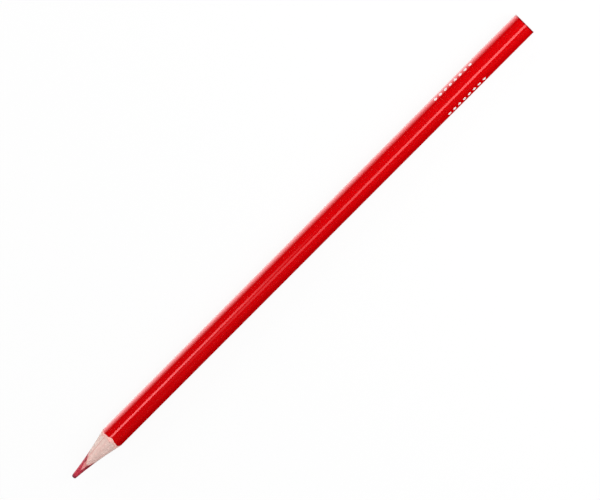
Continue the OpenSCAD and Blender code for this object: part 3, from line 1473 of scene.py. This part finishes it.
@dataclass(frozen=True)
class Lamp:
    """Soft box that faces the pencil; lengths in metres, and a face of level one is white."""

    name: str
    spot: Place
    size: Point
    level: float

    def build(self, height: float) -> None:
        """Hangs the lamp.

        Args:
            height: Height of the pencil's axis.
        """
        data = bpy.data.lights.new(self.name, "AREA")
        data.shape = "RECTANGLE"
        data.size, data.size_y = self.size
        data.energy = self.level * math.pi * self.size[0] * self.size[1]
        lamp = bpy.data.objects.new(self.name, data)
        spot = Vector(self.spot)
        back = (spot - Vector((self.spot[0] / 2, 0.0, height))).normalized()
        side = square_to(back)
        stand(lamp, spot, side, back.cross(side), back)
        hide(lamp, "camera", "glossy")


@dataclass(frozen=True)
class Camera:
    """Camera above the pencil, a little towards its tail and +Y; sensor and lens in millimetres."""

    tilt: float = math.radians(7.8)
    side: float = math.radians(4.6)
    roll: float = math.radians(45.082)
    distance: float = 0.6
    target: Point = (1.97 * MM, -0.25 * MM)
    lens: float = 132.226
    sensor: float = 36.0
    clip: Point = (0.01, 50.0)

    def build(self, height: float) -> None:
        """Places the camera.

        Args:
            height: Height of the pencil's axis, which it looks at.
        """
        level = math.cos(self.tilt)
        back = Vector((math.sin(self.tilt), level * math.sin(self.side), level * math.cos(self.side)))
        along = square_to(back)
        aside = back.cross(along)
        right = along * math.cos(self.roll) - aside * math.sin(self.roll)
        up = along * math.sin(self.roll) + aside * math.cos(self.roll)
        data = bpy.data.cameras.new("camera")
        data.sensor_fit = "HORIZONTAL"
        data.sensor_width = self.sensor
        data.lens = self.lens
        data.clip_start, data.clip_end = self.clip
        camera = bpy.data.objects.new("camera", data)
        stand(camera, Vector((*self.target, height)) + back * self.distance, right, up, back)
        bpy.context.scene.camera = camera


# Reach of the floor and the long panels, height of those panels, their distance from the pencil's middle,
# and the place where the far one turns into its fringe, in millimetres
FAR = 6000.0
LOW = 0.05
PANEL_GAP = 3.5
FRINGE = 11.2
BLUSH: Colour = (1.0, 0.39, 0.41, 1.0)
PALE_PINK: Colour = (1.0, 0.53, 0.55, 1.0)


@dataclass
class Studio:
    """Floor, panels that show in the varnish, lamps and camera."""

    sizes: PencilSizes
    floor_face: Colour = (0.9, 0.9, 0.9, 1.0)
    floor_dim: Colour = (0.25, 0.25, 0.25, 1.0)
    floor_glow: float = 0.92
    room_level: float = 0.02
    panels: tuple[Panel, ...] = (
        # Black card beside the pencil on -Y that only reflections see: a painted shadow on the floor there
        Panel("near_panel", (-FAR, FAR), (-FAR, -PANEL_GAP), LOW),
        Panel("far_panel", (-FAR, FAR), (PANEL_GAP, FRINGE), LOW, level=4.7, rises=(Ramp(0, 9),)),
        Panel(
            "far_fringe", (-FAR, FAR), (FRINGE, FAR), LOW, level=7.2, tint=PALE_PINK,
            rises=(Ramp(13.4, FRINGE, 0.9), Ramp(28.0, 13.4, 0.1)),
        ),
        Panel(
            "tip_strip", (-280, 0), (0, 300), 460, level=9.4, tint=BLUSH, rises=(Ramp(23, 103),),
            sides=(Ramp(278, 198),), ends=(Ramp(-260, -215), Ramp(-40, -175)),
        ),
        Panel(
            "tail_strip", (-200, 320), (-320, 20), 475, level=9.2, tint=BLUSH, rises=(Ramp(-285, -205),),
            sides=(Ramp(0, -80),), ends=(Ramp(-190, 130), Ramp(310, 260)),
        ),
    )
    lamps: tuple[Lamp, ...] = (
        Lamp("top box", spot=(0.1, 0.0, 1.0), size=(1.6, 1.6), level=1.0),
        Lamp("left box", spot=(0.1, 0.75, 0.35), size=(1.2, 0.5), level=2.7),
        Lamp("right box", spot=(0.1, -0.75, 0.35), size=(1.2, 0.5), level=1.3),
        Lamp("tail box", spot=(0.24, -0.1, 0.2), size=(0.2, 0.2), level=4.4),
    )
    camera: Camera = Camera()

    def build(self) -> None:
        """Builds the whole stage: room, floor, panels, lamps and camera."""
        self._world()
        sheet("floor", (-FAR, FAR), (-FAR, FAR), 0.0, self._paper())
        for panel in self.panels:
            panel.build()
        for lamp in self.lamps:
            lamp.build(self.sizes.axis_height)
        self.camera.build(self.sizes.axis_height)

    def _world(self) -> None:
        """Makes the dim room."""
        world = bpy.data.worlds.new("dim room")
        world.use_nodes = True
        tree = Tree(world.node_tree)
        back = tree.node("ShaderNodeBackground", {"Color": WHITE, "Strength": self.room_level})
        tree.node("ShaderNodeOutputWorld", {"Surface": back})
        bpy.context.scene.world = world

    def _paper(self) -> bpy.types.Material:
        """Makes the floor's matte paper, which keeps the pencil's shadow.

        The camera and reflections see it close to plain white.

        Returns:
            The finished material.
        """
        sh = Shader("white paper")
        path = sh.node("ShaderNodeLightPath")
        seen = sh.sock(path, "Is Camera Ray").most(sh.sock(path, "Is Glossy Ray"))
        seen = seen.most(sh.sock(path, "Is Transmission Ray"))
        dim = sh.node("ShaderNodeBsdfDiffuse", {"Color": self.floor_dim})
        face = sh.node("ShaderNodeBsdfDiffuse", {"Color": self.floor_face})
        matte = sh.node("ShaderNodeMixShader", {0: seen, 1: dim, 2: face})
        white = sh.node("ShaderNodeEmission", {"Color": WHITE, "Strength": 1.0})
        return sh.end(sh.node("ShaderNodeMixShader", {0: seen * self.floor_glow, 1: matte, 2: white}))


def main() -> None:
    """Builds the pencil and its stage."""
    logging.basicConfig(level=logging.INFO, format="%(name)s: %(message)s")
    bpy.context.scene.view_settings.view_transform = "Standard"
    sizes = PencilSizes()
    shape, outline = GroundPrism(sizes), Outline(sizes)
    Core(sizes, shape).build()
    Casing(sizes, shape, outline).build()
    Coats(sizes, shape, outline).build()
    Dots(sizes).build()
    Studio(sizes).build()
    bpy.context.view_layer.update()


if __name__ == "__main__":
    main()
